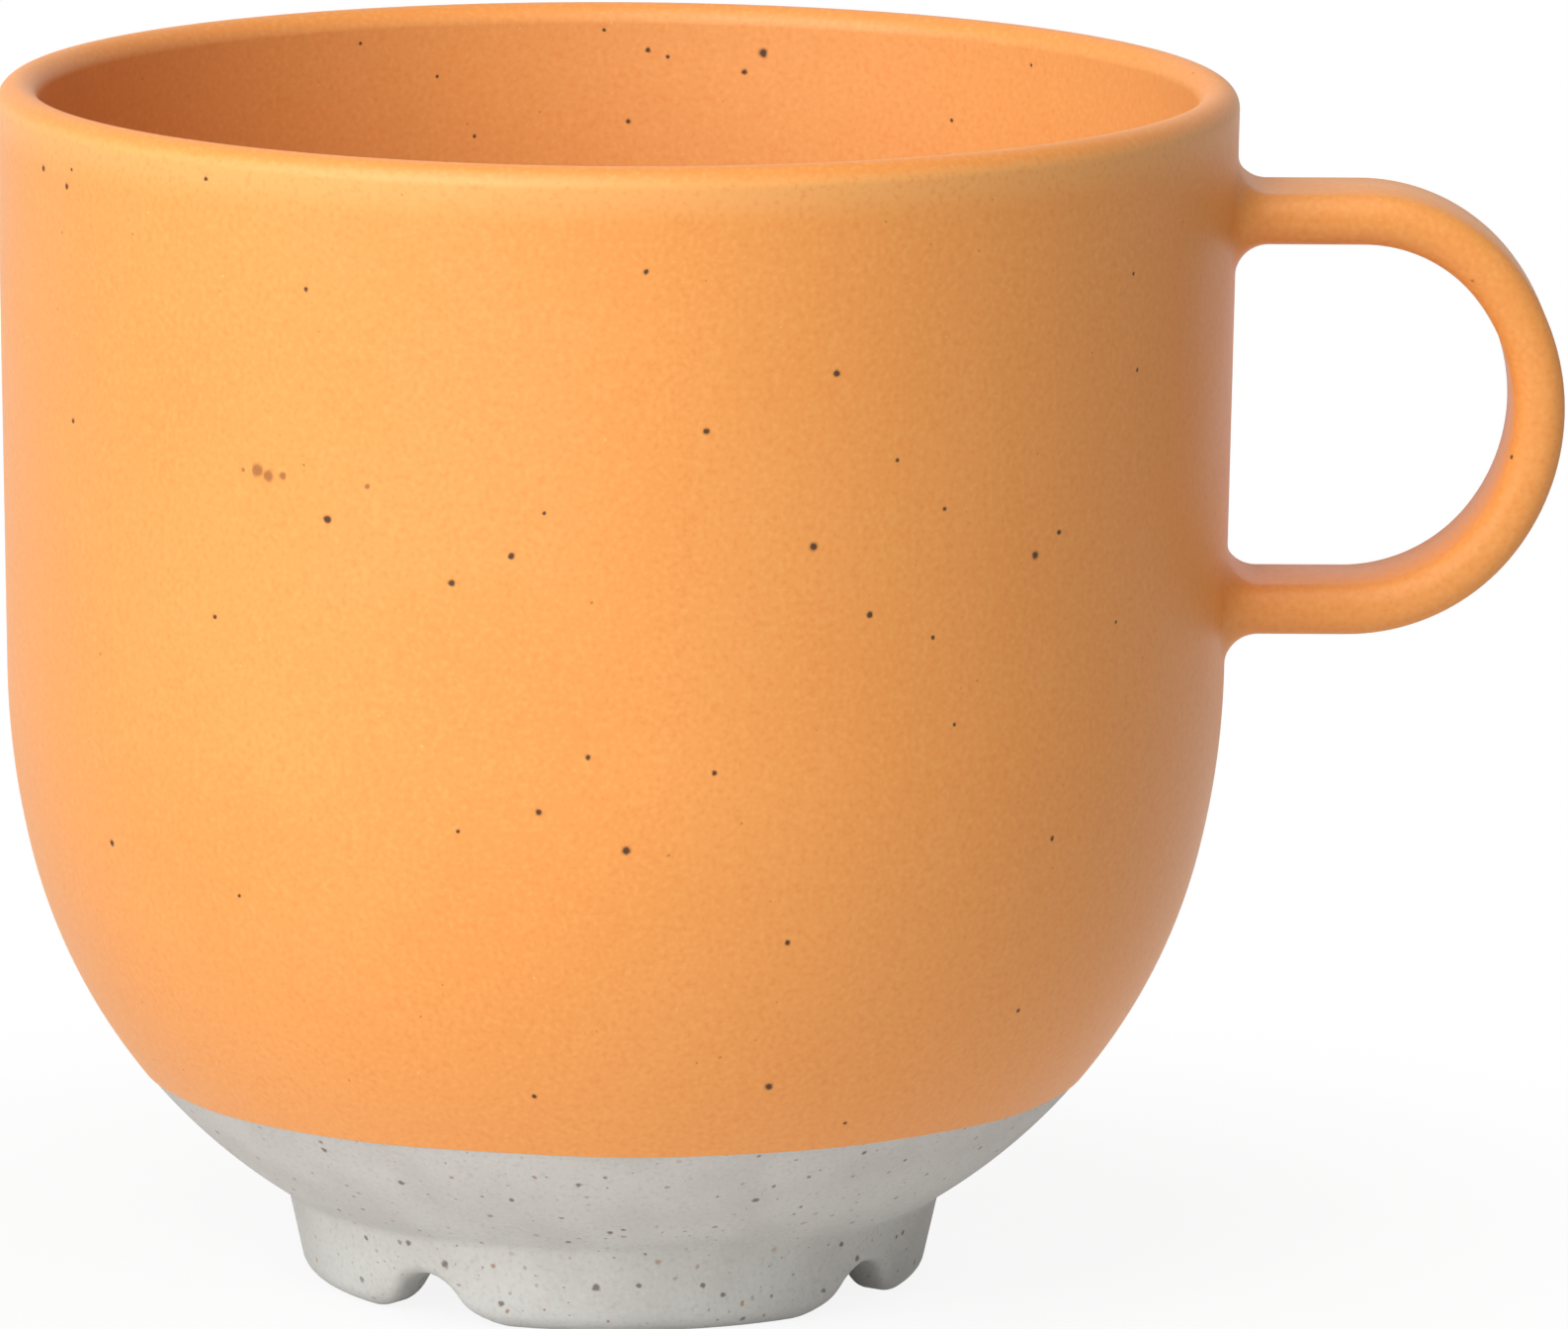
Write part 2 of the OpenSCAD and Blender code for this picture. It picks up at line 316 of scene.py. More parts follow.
def glazed_rows():
    """Half section of the glazed shell: its seat on the clay, edge, outside, lip, inside and floor."""
    level = np.array([cos(SIDE_LEAN), -sin(SIDE_LEAN)])
    high, low = bowl_angle(CLAY_R, MEET_Z), bowl_angle(CLAY_R, GLAZE_LINE)
    seat = arc(BOWL_C, CLAY_R, high, low, points=4, sign=-1)
    low = bowl_angle(BOWL_R, GLAZE_LINE) + EDGE_REST
    bowl = arc(BOWL_C, BOWL_R, low, -BELLY_TURN, points=26)
    belly = arc(BELLY_C, BELLY_R, -BELLY_TURN, -LEAN, points=16)
    side = line(belly[0][-1], LIP_C + LIP_R * level, points=37, normal=level)
    lip = arc(LIP_C, LIP_R, -LEAN, 180 - LEAN, points=21)
    inner_belly = arc(BELLY_C, BELLY_R - WALL, -LEAN, -BELLY_TURN, points=14, sign=-1)
    inner_side = line(lip[0][-1], inner_belly[0][0], points=28, normal=-level)
    inner_bowl = arc(BOWL_C, CAVITY_R, -BELLY_TURN, FLOOR_TURN, points=22, sign=-1)
    corner = arc(FLOOR_C, FLOOR_R, FLOOR_TURN, -90, points=16, sign=-1)
    floor = line(corner[0][-1], (AXIS_R, FLOOR_Z), points=9, normal=(0, 1))
    outside = [seat, glaze_bead(), bowl, belly, side]
    return join(outside + [lip, inner_side, inner_belly, inner_bowl, corner, floor])


def meeting_rows():
    """Hidden face on which cup and foot meet: half section from the axis out and up within the wall."""
    z, deep = FLOOR_Z - MEET_DEPTH, CAVITY_R + MEET_DEPTH
    floor = line((AXIS_R, z), (FLOOR_C[0], z), points=6, normal=(0, -1))
    corner = arc(FLOOR_C, FLOOR_R + MEET_DEPTH, -90, FLOOR_TURN, points=9)
    bowl = arc(BOWL_C, deep, FLOOR_TURN, bowl_angle(deep, MEET_Z), points=5)
    return join([floor, corner, bowl])


def wander(V, phi, rows):
    """Lets the hand-dipped edge of the glaze wander a little up and down along the bowl."""
    w = sum(height * np.sin(waves * phi + phase) for height, waves, phase in EDGE_WAVES)
    for i in rows:
        V[i, :, 2] += w
        k = 1 + w * EDGE_FLARE / np.hypot(V[i, :, 0], V[i, :, 1])
        V[i, :, 0] *= k
        V[i, :, 1] *= k


def window_rows(P, N, z):
    """First and last row of the window that the side leaves for a root at a height."""
    reach = STRAP_T / 2 + ROOT_R + WINDOW_GAP
    # rows of the outside that look nearly level outward
    side = np.flatnonzero((N[:, 0] > 0.9) & (P[:, 0] > CAVITY_R))
    return max(i for i in side if P[i, 1] <= z - reach), min(i for i in side if P[i, 1] >= z + reach)


def goes_round(outline, point):
    """True where a closed outline goes round a point."""
    a = outline - point
    b = np.roll(a, -1, 0)
    return abs(np.arctan2(a[:, 0] * b[:, 1] - a[:, 1] * b[:, 0], (a * b).sum(1)).sum()) > pi


def root_skin(V, ring, window, half):
    """Triangles between the border of a window and a root's outline, laid in the unrolled side."""
    first, last = window
    idx = list(ring)
    flat = [(SIDE_R * math.atan2(V[t][1], V[t][0]), V[t][2]) for t in ring]
    outline = np.array(flat)
    middle = outline[:, 1].mean()
    for i in range(first, last + 1):
        for s in range(-half, half + 1):
            v = i * COLUMNS + s % COLUMNS
            p = (SIDE_R * s * GRID_STEP, V[v][2])
            border = i in (first, last) or s in (-half, half)
            gap = np.hypot(*(outline - p).T).min()
            within = abs(p[0]) < STRAP_W / 2 + ROOT_R and abs(p[1] - middle) < STRAP_T / 2 + ROOT_R
            if border or (gap > SKIN_GAP and not within):
                idx.append(v)
                flat.append(p)
    n = len(ring)
    edges = [(t, (t + 1) % n) for t in range(n)]
    result = delaunay_2d_cdt([Vector(p) for p in flat], edges, [], 0, 1e-7)
    given = [sources[0] for sources in result[3]]
    skin = []
    for f in result[2]:
        f = [given[t] for t in f]
        in_root = all(t < n for t in f) and goes_round(outline, np.mean([flat[t] for t in f], 0))
        if not in_root:
            skin.append([idx[t] for t in f])
    return np.array(skin)


def cup_faces(rows, meet_rows, meet_base, windows, half):
    """The meeting face, the step up to the shell's first row and the shell with its windows, wound alike."""
    def skip(i, j):
        s = np.where(j >= COLUMNS // 2, j - COLUMNS, j)
        opened = np.zeros(i.shape, bool)
        for first, last in windows:
            opened |= (i >= first) & (i < last) & (s >= -half) & (s < half)
        return opened

    j = np.arange(COLUMNS)
    k = (j + 1) % COLUMNS
    top = meet_base + (meet_rows - 1) * COLUMNS
    step = np.stack([top + j, top + k, k, j], 1)
    meeting = grid_quads(meet_base, meet_rows, COLUMNS)
    return np.concatenate([meeting, step, grid_quads(0, rows, COLUMNS, skip)])


def inner_share(P, count):
    """How far each point is on the inside: 0 outside, 1 from the lip's inner edge on down."""
    lip_turn = np.degrees(np.arctan2(P[:, 1] - LIP_C[1], P[:, 0] - LIP_C[0])) % 360
    past_top = np.arange(len(P)) > np.argmax(P[:, 1])
    row = np.where(past_top, np.clip((lip_turn - 90) / 90, 0, 1), 0.0)
    share = np.zeros(count)
    share[:len(P) * COLUMNS] = np.repeat(row, COLUMNS)
    return share


def glazed_mug(material):
    """Outside, lip, inside and handle as one closed skin, down to the glaze line."""
    phi = np.arange(COLUMNS) * 2 * pi / COLUMNS
    P, N = glazed_rows()
    V, W = lathe(P, N, phi)
    wander(V, phi, EDGE_ROWS)
    M, MN = meeting_rows()
    MV, MW = lathe(M, MN, phi)
    HV, HN = handle_rows()
    rings, around = HV.shape[:2]
    ends, ends_n = [[0, 0, FLOOR_Z], [0, 0, M[0, 1]]], [[0, 0, 1.0], [0, 0, -1.0]]
    points = np.concatenate([V.reshape(-1, 3), MV.reshape(-1, 3), HV.reshape(-1, 3), ends])
    normals = np.concatenate([W.reshape(-1, 3), MW.reshape(-1, 3), HN.reshape(-1, 3), ends_n])
    meet_base = len(P) * COLUMNS
    handle_base = meet_base + len(M) * COLUMNS
    end_base = handle_base + rings * around
    half_turn = math.degrees(math.asin((STRAP_W / 2 + ROOT_R) / SIDE_R))
    half = int(math.ceil(half_turn / (360 / COLUMNS) + WINDOW_CELLS))
    windows = [window_rows(P, N, z) for z in (HIGH_Z, LOW_Z)]
    faces = [cup_faces(len(P), len(M), meet_base, windows, half)]
    faces += [fan(end_base, (len(P) - 1) * COLUMNS, COLUMNS), fan(end_base + 1, meet_base, COLUMNS)]
    faces.append(grid_quads(handle_base, rings, around))
    for window, ring in zip(windows, (0, rings - 1)):
        outline = [handle_base + ring * around + t for t in range(around)]
        faces.append(root_skin(points, outline, window, half))
    inner = inner_share(P, len(points))
    inner[end_base] = 1.0
    return make_piece("glazed_mug", points, normals, faces, material, inner)


# Bare clay foot
FINE_STEP = 0.0065  # radians between columns about a notch
COARSE_STEP = 0.028  # radians more between columns far from one
NOTCH_SPAN = 0.26  # radians from a notch's middle within which the columns stay fine
SPAN_EASE = 0.16
HEART_OUT, HEART_UP = 0.2, 2.2  # mm from the ring's middle and from the hollow's roof to where rays start
RAYS = 64
LAST_RAY = -160.0
RAY_LENGTH = 12.0
HALVINGS = 28


def notch_outline():
    """Right half of a notch in elevation: crown, shoulder, ground; points (across, up)."""
    crown = np.array([0, NOTCH_H - CROWN_R])
    f = math.asin((SHOULDER_R - crown[1]) / (CROWN_R + SHOULDER_R))
    shoulder = crown + (CROWN_R + SHOULDER_R) * np.array([cos(f), sin(f)])
    a = np.linspace(pi / 2, f, NOTCH_POINTS)[:, None]
    b = np.linspace(pi + f, 1.5 * pi, NOTCH_POINTS)[1:, None]
    over = crown + CROWN_R * np.hstack([np.cos(a), np.sin(a)])
    down = shoulder + SHOULDER_R * np.hstack([np.cos(b), np.sin(b)])
    return np.concatenate([over, down, [[GROUND_END, 0.0]]])


def outline_distance(y, z, poly):
    """Distance to notch and ground, positive in the open."""
    y = np.abs(y)
    best = np.full(y.shape, 1e9)
    for a, b in zip(poly[:-1], poly[1:]):
        e = b - a
        t = np.clip(((y - a[0]) * e[0] + (z - a[1]) * e[1]) / (e @ e), 0, 1)
        best = np.minimum(best, np.hypot(y - a[0] - t * e[0], z - a[1] - t * e[1]))
    return np.where(z < np.interp(y, poly[:, 0], poly[:, 1]), best, -best)


def round_max(a, b, r):
    """The larger of two distances, with the edge between them rounded."""
    rounded = np.hypot(np.maximum(a + r, 0), np.maximum(b + r, 0)) - r
    return np.where((a > -r) & (b > -r), rounded, np.maximum(a, b))


def foot_field(r, z, turn, poly):
    """Below zero inside the clay of the foot ring: side, hollow, ground and notch, with soft edges."""
    side = (r - FOOT_R) * cos(FOOT_SLOPE) - z * sin(FOOT_SLOPE)
    q, p = r - (HOLLOW - HOLLOW_R), z - (HOLLOW_H - HOLLOW_R)
    corner = np.hypot(np.maximum(q, 0), np.maximum(p, 0)) + np.minimum(np.maximum(q, p), 0)
    hollow = HOLLOW_R - corner
    y = r * np.sin(turn)
    notch = outline_distance(y, z, poly)
    w = np.clip(np.interp(np.abs(y), poly[:, 0], poly[:, 1]) / NOTCH_H * NOTCH_EASE, 0, 1)
    w = w * w * (3 - 2 * w)
    edge = EDGE_R * (1 - w) + NOTCH_EDGE * w
    return np.maximum(round_max(side, notch, edge), round_max(hollow, notch, HOLLOW_R))


def foot_turns():
    """Turns of the columns away from a notch's middle, from halfway to one notch to halfway to the next."""
    half = [0.0]
    while half[-1] < pi / NOTCHES - 1e-9:
        t = half[-1]
        wide = COARSE_STEP * min(1, max(0, (t - NOTCH_SPAN) / SPAN_EASE))
        half.append(min(t + FINE_STEP + wide, pi / NOTCHES))
    half = np.array(half)
    return np.concatenate([-half[::-1][:-1], half[:-1]])


def bowl_and_crease():
    """Half section of the clay from the meeting face down to the foot ring's side."""
    out, up = np.array([cos(FOOT_SLOPE), -sin(FOOT_SLOPE)]), np.array([sin(FOOT_SLOPE), cos(FOOT_SLOPE)])
    at = (FOOT_R * cos(FOOT_SLOPE) + CREASE_R) * out
    gap = BOWL_C - at
    centre = at + (gap @ up - math.sqrt((CLAY_R + CREASE_R) ** 2 - (gap @ out) ** 2)) * up
    way = (centre - BOWL_C) / np.hypot(*(centre - BOWL_C))
    low = math.degrees(math.atan2(way[1], way[0]))
    bowl, _ = arc(BOWL_C, CLAY_R, bowl_angle(CLAY_R, MEET_Z), low, points=18)
    crease, _ = arc(centre, CREASE_R, low + 180, math.degrees(math.atan2(-out[1], -out[0])), points=12)
    return bowl, crease[1:]


def ring_rows(start, turn):
    """Rows round the foot ring, where rays from within its clay come out: side, ground and hollow."""
    heart = np.array([(FOOT_R + HOLLOW) / 2 + HEART_OUT, HOLLOW_H + HEART_UP])
    poly = notch_outline()
    first = math.atan2(start[1] - heart[1], start[0] - heart[0])
    rows = []
    for a in np.linspace(first, math.radians(LAST_RAY), RAYS)[1:]:
        near, far = np.zeros(len(turn)), np.full(len(turn), RAY_LENGTH)
        for _ in range(HALVINGS):
            m = (near + far) / 2
            inside = foot_field(heart[0] + m * cos(a), heart[1] + m * sin(a), turn, poly) < 0
            near, far = np.where(inside, m, near), np.where(inside, far, m)
        rows.append((heart[0] + near * cos(a), heart[1] + near * sin(a)))
    return rows


def foot_normals(V, phi, M, MN, bowl):
    """Outward all the way: the meeting face looks up and in, the bowl out and down, the rest as it lies."""
    across = np.roll(V, -1, 1) - np.roll(V, 1, 1)
    along = np.gradient(V, axis=0)
    N = np.cross(along, across)
    N /= np.linalg.norm(N, axis=2)[:, :, None] + 1e-12
    bowl_end = len(M) + len(bowl)
    N[:len(M)] = lathe(M, -MN, phi)[1]
    N[len(M):bowl_end] = lathe(bowl, (bowl - BOWL_C) / CLAY_R, phi)[1]
    if (N[bowl_end] * N[bowl_end - 1]).sum() < 0:
        N[bowl_end:] *= -1
    return N


def bare_foot(material):
    """The clay below the glaze: a part of the bowl, the crease, and the ring with its notches."""
    quarter = foot_turns()
    turn = np.concatenate([quarter] * NOTCHES)
    notch_at = np.repeat(np.arange(NOTCHES) * 2 * pi / NOTCHES, len(quarter))
    phi = turn + notch_at + math.radians(NOTCH_TURN)
    cols = len(phi)
    M, MN = meeting_rows()
    bowl, crease = bowl_and_crease()
    rows = [(np.full(cols, r), np.full(cols, z)) for r, z in np.concatenate([M, bowl, crease])]
    rows += ring_rows(crease[-1], turn)
    roof_r = rows[-1][0][0]
    roof = np.linspace(roof_r, AXIS_R, ROOF_ROWS)[1:]
    rows += [(np.full(cols, r), np.full(cols, HOLLOW_H)) for r in roof]
    R, Z = np.array([r for r, z in rows]), np.array([z for r, z in rows])
    V = np.stack([R * np.cos(phi), R * np.sin(phi), Z], -1)
    N = foot_normals(V, phi, M, MN, bowl)
    end = len(rows) * cols
    points = np.concatenate([V.reshape(-1, 3), [[0, 0, M[0, 1]], [0, 0, HOLLOW_H]]])
    normals = np.concatenate([N.reshape(-1, 3), [[0, 0, 1.0], [0, 0, -1.0]]])
    faces = [grid_quads(0, len(rows), cols), fan(end, 0, cols), fan(end + 1, end - cols, cols)]
    return make_piece("bare_foot", points, normals, faces, material)


# The specks that show in the photograph. Each was picked out, and its place on the mug worked out
# through the fitted camera. A place is the turn round the mug in degrees, with the handle at 0 and the
# viewer at -90, and the height in mm. The keys are widths in mm.
OUTER_SPECKS = {
    0.46: [(-117, 62.3), (-89, 39.6), (-73.5, 21.3), (-72, 61), (-48.5, 58.9)],
    0.36: [(-155.5, 84), (-150.5, 83.2), (-145.5, 36.3), (-105, 58.4), (-99.5, 60.5), (-97, 42.3),
           (-82, 69.4), (-70, 73.2), (-66.5, 55.9)],
    0.28: [(-150, 66.4), (-129.5, 54.4), (-130, 85.6), (-119, 78.5), (-98.5, 20.7), (-92.5, 46.3),
           (-87.5, 80.7), (-81, 45.1), (-73.5, 32.5), (-45.5, 60.3), (-44.5, 25.1), (-45, 38.1)],
    0.22: [(-149.5, 84.5), (-128, 34.3), (-104.5, 40.7), (-96.5, 63.6), (-64, 66.8), (-63, 17.7),
           (-60, 53.9), (-59, 63), (-57.5, 47.5), (-37, 53), (-35.5, 77.9), (-34.5, 70.9)],
}
INNER_SPECKS = {
    0.5: [(75, 84.5)],
    0.3: [(77, 83), (87, 84.5), (89, 79.1)],
    0.22: [(43, 85.3), (53.5, 80.4), (85, 84), (91.5, 86), (105, 78.1), (109, 82.7), (117.5, 85.5)],
}
# a weak brown bloom in the glaze
BLOOM = {
    0.7: [(-124.4, 65.3)],
    0.6: [(-123.2, 65)],
    0.4: [(-121.6, 65.1)],
    0.26: [(-126, 65.2), (-113, 64.9)],
}
# places on the handle, in mm along the three axes
HANDLE_SPECKS = [(61.7, -5.6, 74.3), (64.8, -4.9, 61.4), (58, 0.6, 49)]
HANDLE_SPECK_W = 0.28
BROWN_SPECKS = {
    0.55: [(-121, 4.6), (-119, 12.1), (-93, 3.6), (-70.5, 11.2)],
    0.44: [(-128.5, 14.2), (-110.5, 2), (-94.5, 13), (-90.5, 8.4), (-58, 14.7), (-41, 4.1), (-27, 5)],
    0.36: [(-147, 8.9), (-139.5, 7.8), (-139, 5.5), (-131.5, 8.6), (-131.5, 3), (-91, 13.7), (-88.5, 8.7),
           (-85.5, 3.8), (-74, 3.6), (-72.5, 15.3), (-70, 2.8), (-46, 5.5)],
}
RUST_SPECKS = {
    0.36: [(-129.5, 11), (-111, 13.1), (-66, 2), (-57.5, 12.6)],
    0.28: [(-111.5, 4.9), (-109.5, 1.5)],
}


# Chance specks: how many, and the gap in mm beyond which they never crowd each other out
SEED = 11
RARE_SPECKS, FINE_SPECKS, GLAZE_GAP = 420, 620, 1.2
CLAY_SPECKS, CLAY_GAP = 2600, 0.8
# radii of chance specks, in mm
RARE_RADII, FINE_RADII = (0.1, 0.24), (0.05, 0.1)
CLAY_RADIUS_LEAST, CLAY_RADIUS_MORE, CLAY_RADIUS_POWER = 0.08, 0.17, 2.4
# radius of a drawn speck for each mm of the width that shows
GLAZE_RADIUS, CLAY_RADIUS = 0.62, 0.6
# how strongly specks cover what they lie in
RARE_STRENGTHS, FINE_STRENGTHS, BLOOM_STRENGTH = (0.6, 1), (0.25, 0.6), 0.8
CLAY_STRENGTH, CLAY_STRENGTHS = 0.75, (0.3, 0.8)
# tones: of glaze specks from pinhole over bloom to iron, of clay specks from rust to brown
PINHOLE_TONE, BLOOM_TONE, PALE_TONE, IRON_TONE = 0.0, 0.35, 0.45, 0.9
RUST_TONE, BROWN_TONE = 0.2, 0.55
IRON_FROM = 0.1  # radius in mm above which a glaze speck is iron
FAR_SIDE_Y = 4  # the photograph shows the outside only in front of this place
INSIDE_Z = 60  # and the inside only above this level
OUTSIDE_R = 43.2  # farther from the axis than any of the inside


def placed(specks, depth=0.0):
    """Points (mm) and widths of specks on the mug's side, or a depth within it."""
    turn, z, width = np.array([(t, z, w) for w, places in specks.items() for t, z in places]).T
    r = outside_at(z) - depth
    turn = np.radians(turn)
    return np.stack([r * np.cos(turn), r * np.sin(turn), z], 1), width


def on_faces(me, n, rng):
    """Random points spread evenly over a mesh, in mm."""
    area = np.empty(len(me.polygons))
    me.polygons.foreach_get("area", area)
    co = np.empty(len(me.vertices) * 3)
    me.vertices.foreach_get("co", co)
    co = co.reshape(-1, 3) / MM
    out = []
    for k in rng.choice(len(area), n, p=area / area.sum()):
        v = list(me.polygons[k].vertices)
        out.append(rng.dirichlet(np.ones(len(v))) @ co[v])
    return np.array(out)


def store_specks(me, at, size, tone, strength, batch=2000):
    """Gives every face its nearest speck: place (m), and radius (mm), tone and strength."""
    c = np.empty(len(me.polygons) * 3)
    me.polygons.foreach_get("center", c)
    c = c.reshape(-1, 3) / MM
    starts = range(0, len(c), batch)
    near = np.concatenate([((c[i:i + batch, None] - at[None]) ** 2).sum(2).argmin(1) for i in starts])
    kind = np.stack([size, tone, strength], 1)
    for name, v in (("speck_at", at * MM), ("speck_kind", kind)):
        a = me.attributes.new(name, "FLOAT_VECTOR", "FACE")
        a.data.foreach_set("vector", v[near].astype(np.float32).ravel())


def thin_out(at, size, gap, sure, spread=2.2, clear=0.25):
    """Drops specks too near an earlier one, allowing for their sizes. The first ones are sure to stay."""
    keep = list(range(sure))
    for i in range(sure, len(at)):
        room = np.minimum(gap, spread * (size[keep] + size[i]) + clear)
        if (np.linalg.norm(at[keep] - at[i], axis=1) > room).all():
            keep.append(i)
    return keep


def off_the_view(at):
    """True for points that the photograph doesn't show: the far side, and the inside low down."""
    outer = np.hypot(at[:, 0], at[:, 1]) > OUTSIDE_R
    return (at[:, 1] > FAR_SIDE_Y) & (outer | (at[:, 2] < INSIDE_Z))


def speck_glaze(mug, rng):
    """The specks of the photograph, then chance ones off the part that it shows, then fine ones all over."""
    outer, outer_w = placed(OUTER_SPECKS)
    inner, inner_w = placed(INNER_SPECKS, WALL)
    bloom, bloom_w = placed(BLOOM)
    rare = on_faces(mug.data, RARE_SPECKS, rng)
    rare = rare[off_the_view(rare)]
    fine = on_faces(mug.data, FINE_SPECKS, rng)
    at = np.concatenate([outer, inner, HANDLE_SPECKS, bloom, rare, fine])
    shown = len(outer) + len(inner) + len(HANDLE_SPECKS)
    sure = shown + len(bloom)
    shown_w = np.concatenate([outer_w, inner_w, np.full(len(HANDLE_SPECKS), HANDLE_SPECK_W), bloom_w])
    rare_r = rng.uniform(*RARE_RADII, len(rare))
    fine_r = rng.uniform(*FINE_RADII, len(fine))
    size = np.concatenate([shown_w * GLAZE_RADIUS, rare_r, fine_r])
    rare_s = rng.uniform(*RARE_STRENGTHS, len(rare))
    fine_s = rng.uniform(*FINE_STRENGTHS, len(fine))
    strength = np.concatenate([np.ones(shown), np.full(len(bloom), BLOOM_STRENGTH), rare_s, fine_s])
    tone = np.where(size > IRON_FROM, IRON_TONE, rng.choice([PINHOLE_TONE, PALE_TONE], len(size)))
    tone[shown:sure] = BLOOM_TONE
    keep = thin_out(at, size, GLAZE_GAP, sure)
    store_specks(mug.data, at[keep], size[keep], tone[keep], strength[keep])


def speck_clay(foot, rng):
    """Brown and rust specks of the photograph, then small ones of every tone."""
    brown, brown_w = placed(BROWN_SPECKS)
    rust, rust_w = placed(RUST_SPECKS)
    small = on_faces(foot.data, CLAY_SPECKS, rng)
    sure = len(brown) + len(rust)
    at = np.concatenate([brown, rust, small])
    small_r = CLAY_RADIUS_LEAST + CLAY_RADIUS_MORE * rng.random(len(small)) ** CLAY_RADIUS_POWER
    size = np.concatenate([brown_w * CLAY_RADIUS, rust_w * CLAY_RADIUS, small_r])
    shown_tone = [BROWN_TONE] * len(brown) + [RUST_TONE] * len(rust)
    tone = np.concatenate([shown_tone, rng.random(len(small))])
    strength = np.concatenate([np.full(sure, CLAY_STRENGTH), rng.uniform(*CLAY_STRENGTHS, len(small))])
    keep = thin_out(at, size, CLAY_GAP, sure)
    store_specks(foot.data, at[keep], size[keep], tone[keep], strength[keep])


# Materials
class Nodes:
    """A material's nodes, added by short calls; sizes in mm."""

    def __init__(self, name):
        self.mat = bpy.data.materials.new(name)
        self.mat.use_nodes = True
        self.t = self.mat.node_tree
        self.bsdf = self.t.nodes["Principled BSDF"]
        self.obj = self.t.nodes.new("ShaderNodeTexCoord").outputs["Object"]

    def put(self, socket, value):
        if isinstance(value, bpy.types.NodeSocket):
            self.t.links.new(value, socket)
        elif value is not None:
            socket.default_value = value

    def math(self, op, a, b):
        n = self.t.nodes.new("ShaderNodeMath")
        n.operation = op
        self.put(n.inputs[0], a)
        self.put(n.inputs[1], b)
        return n.outputs[0]

    def vec(self, op, a, b=None, scale=None):
        n = self.t.nodes.new("ShaderNodeVectorMath")
        n.operation = op
        self.put(n.inputs[0], a)
        self.put(n.inputs[1], b)
        if scale is not None:
            n.inputs["Scale"].default_value = scale
        return n.outputs["Value" if op == "DISTANCE" else "Vector"]

    def noise(self, size, detail=2.0, rough=0.5, color=False):
        n = self.t.nodes.new("ShaderNodeTexNoise")
        self.put(n.inputs["Vector"], self.obj)
        n.inputs["Scale"].default_value = 1 / (size * MM)
        n.inputs["Detail"].default_value = detail
        n.inputs["Roughness"].default_value = rough
        return n.outputs["Color" if color else "Fac"]

    def ramp(self, fac, lo, hi, start=0.0, end=1.0):
        """Goes smoothly from start to end while the factor goes from lo to hi."""
        n = self.t.nodes.new("ShaderNodeMapRange")
        n.interpolation_type = "SMOOTHSTEP"
        self.put(n.inputs["Value"], fac)
        for k, v in (("From Min", lo), ("From Max", hi), ("To Min", start), ("To Max", end)):
            self.put(n.inputs[k], v)
        return n.outputs["Result"]

    def mix(self, fac, a, b):
        n = self.t.nodes.new("ShaderNodeMix")
        n.data_type = "RGBA"
        self.put(n.inputs[0], fac)
        self.put(n.inputs[6], a)
        self.put(n.inputs[7], b)
        return n.outputs[2]

    def bump(self, height, distance, strength):
        n = self.t.nodes.new("ShaderNodeBump")
        n.inputs["Strength"].default_value = strength
        n.inputs["Distance"].default_value = distance * MM
        self.put(n.inputs["Height"], height)
        return n.outputs["Normal"]

    def attribute(self, name, output="Vector"):
        n = self.t.nodes.new("ShaderNodeAttribute")
        n.attribute_name = name
        return n.outputs[output]

    def split(self, vector):
        n = self.t.nodes.new("ShaderNodeSeparateXYZ")
        self.put(n.inputs[0], vector)
        return n.outputs

    def ragged(self, size, reach):
        """Object coordinates pushed about a little, so that specks have uneven outlines."""
        push = self.vec("SUBTRACT", self.noise(size, 2, color=True), (0.5, 0.5, 0.5))
        return self.vec("ADD", self.obj, self.vec("SCALE", push, scale=reach * MM))

    def speck(self, at):
        """Distance to the face's speck in its radii, and its tone and strength."""
        radius, tone, strength = self.split(self.attribute("speck_kind"))
        d = self.math("MULTIPLY", self.vec("DISTANCE", at, self.attribute("speck_at")), 1 / MM)
        return self.math("DIVIDE", d, radius), tone, strength


def linear(red, green, blue):
    """Colour for a socket from eight-bit sRGB values."""
    def one(c):
        c /= 255
        return c / 12.92 if c <= 0.04045 else ((c + 0.055) / 1.055) ** 2.4
    return (one(red), one(green), one(blue), 1.0)


GLAZE = linear(247, 162, 83)
GLAZE_CLOUD = linear(248, 165, 87)
# painted highlight: the pale band just under the lip
PAINTED_HIGHLIGHT_UNDER_LIP = linear(253, 184, 110)
# painted light: the inside's glaze made paler and less red, to lift its shade and deep bounce light
GLAZE_INSIDE_PAINTED_LIGHT = linear(240, 167, 96)
# deeper orange on the lip's top: partly the glaze's own colour, partly painted shade
GLAZE_ON_LIP_AND_SHADE = linear(243, 150, 66)
GLAZE_DEEP_GRAIN = linear(238, 149, 73)
GLAZE_PALE_GRAIN = linear(253, 182, 106)
IRON_HALO = linear(140, 84, 40)
IRON_CORE = linear(62, 44, 34)
PINHOLE = linear(255, 206, 150)
CLAY = linear(209, 208, 203)
CLAY_CLOUD = linear(202, 200, 195)
CLAY_PALE_GRAIN = linear(219, 217, 211)
CLAY_DARK_GRAIN = linear(182, 180, 174)
CLAY_RUST = linear(165, 118, 88)
CLAY_BROWN = linear(88, 70, 56)
CLAY_GREY = linear(98, 96, 92)

# Heights in metres between which a highlight is painted under the lip, and those of the lip's top, painted a
# deeper orange: partly the glaze's own colour, partly painted shade
HIGHLIGHT_FROM, HIGHLIGHT_FULL = 0.0835, 0.0862
LIP_TOP_FROM, LIP_TOP_FULL = 0.0867, 0.0876


